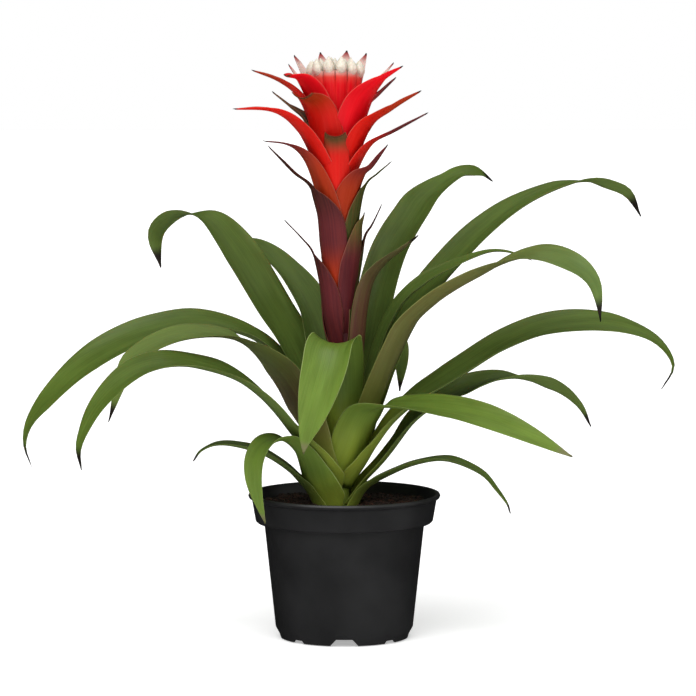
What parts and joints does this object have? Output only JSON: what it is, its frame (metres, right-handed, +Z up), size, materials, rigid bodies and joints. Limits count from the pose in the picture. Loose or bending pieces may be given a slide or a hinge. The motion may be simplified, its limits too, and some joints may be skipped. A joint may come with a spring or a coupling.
{
  "type": "potted guzmania plant",
  "caption": "Flowering guzmania: a rosette of arching strap-shaped leaves with a red bract spike, rooted in a round tapered growers' pot filled with peat.",
  "frame": {"origin": "middle of the pot's underside, on the flat pad that it stands on", "axes": "+Z up, +X to the right as seen from the front, +Y towards the back; the front is the side that the picture shows"},
  "size_m": [0.403, 0.2821, 0.3651],
  "materials": {
    "pot_plastic": "satin",
    "peat": "matte",
    "leaf_green": "satin",
    "leaf_bright": "satin",
    "leaf_olive": "satin",
    "bract_maroon": "satin",
    "bract_red": "satin",
    "bud_white": "satin"
  },
  "bodies": {
    "root": {"pot": "pot_plastic", "soil": "peat", "leaf_01": "leaf_green", "leaf_02": "leaf_green", "leaf_03": "leaf_green", "leaf_04": "leaf_bright", "leaf_05": "leaf_green", "leaf_06": "leaf_green", "leaf_07": "leaf_green", "leaf_08": "leaf_green", "leaf_09": "leaf_green", "leaf_10": "leaf_olive", "leaf_11": "leaf_bright", "leaf_12": "leaf_green", "leaf_13": "leaf_green", "leaf_14": "leaf_green", "leaf_15": "leaf_olive", "leaf_16": "leaf_green", "leaf_17": "leaf_green", "leaf_18": "leaf_green", "leaf_19": "leaf_green", "leaf_20": "leaf_bright", "leaf_21": "leaf_olive", "flower_stalk": "bract_maroon", "flower_head": "bract_red", "flower_buds": "bud_white"}
  },
  "joints": []
}
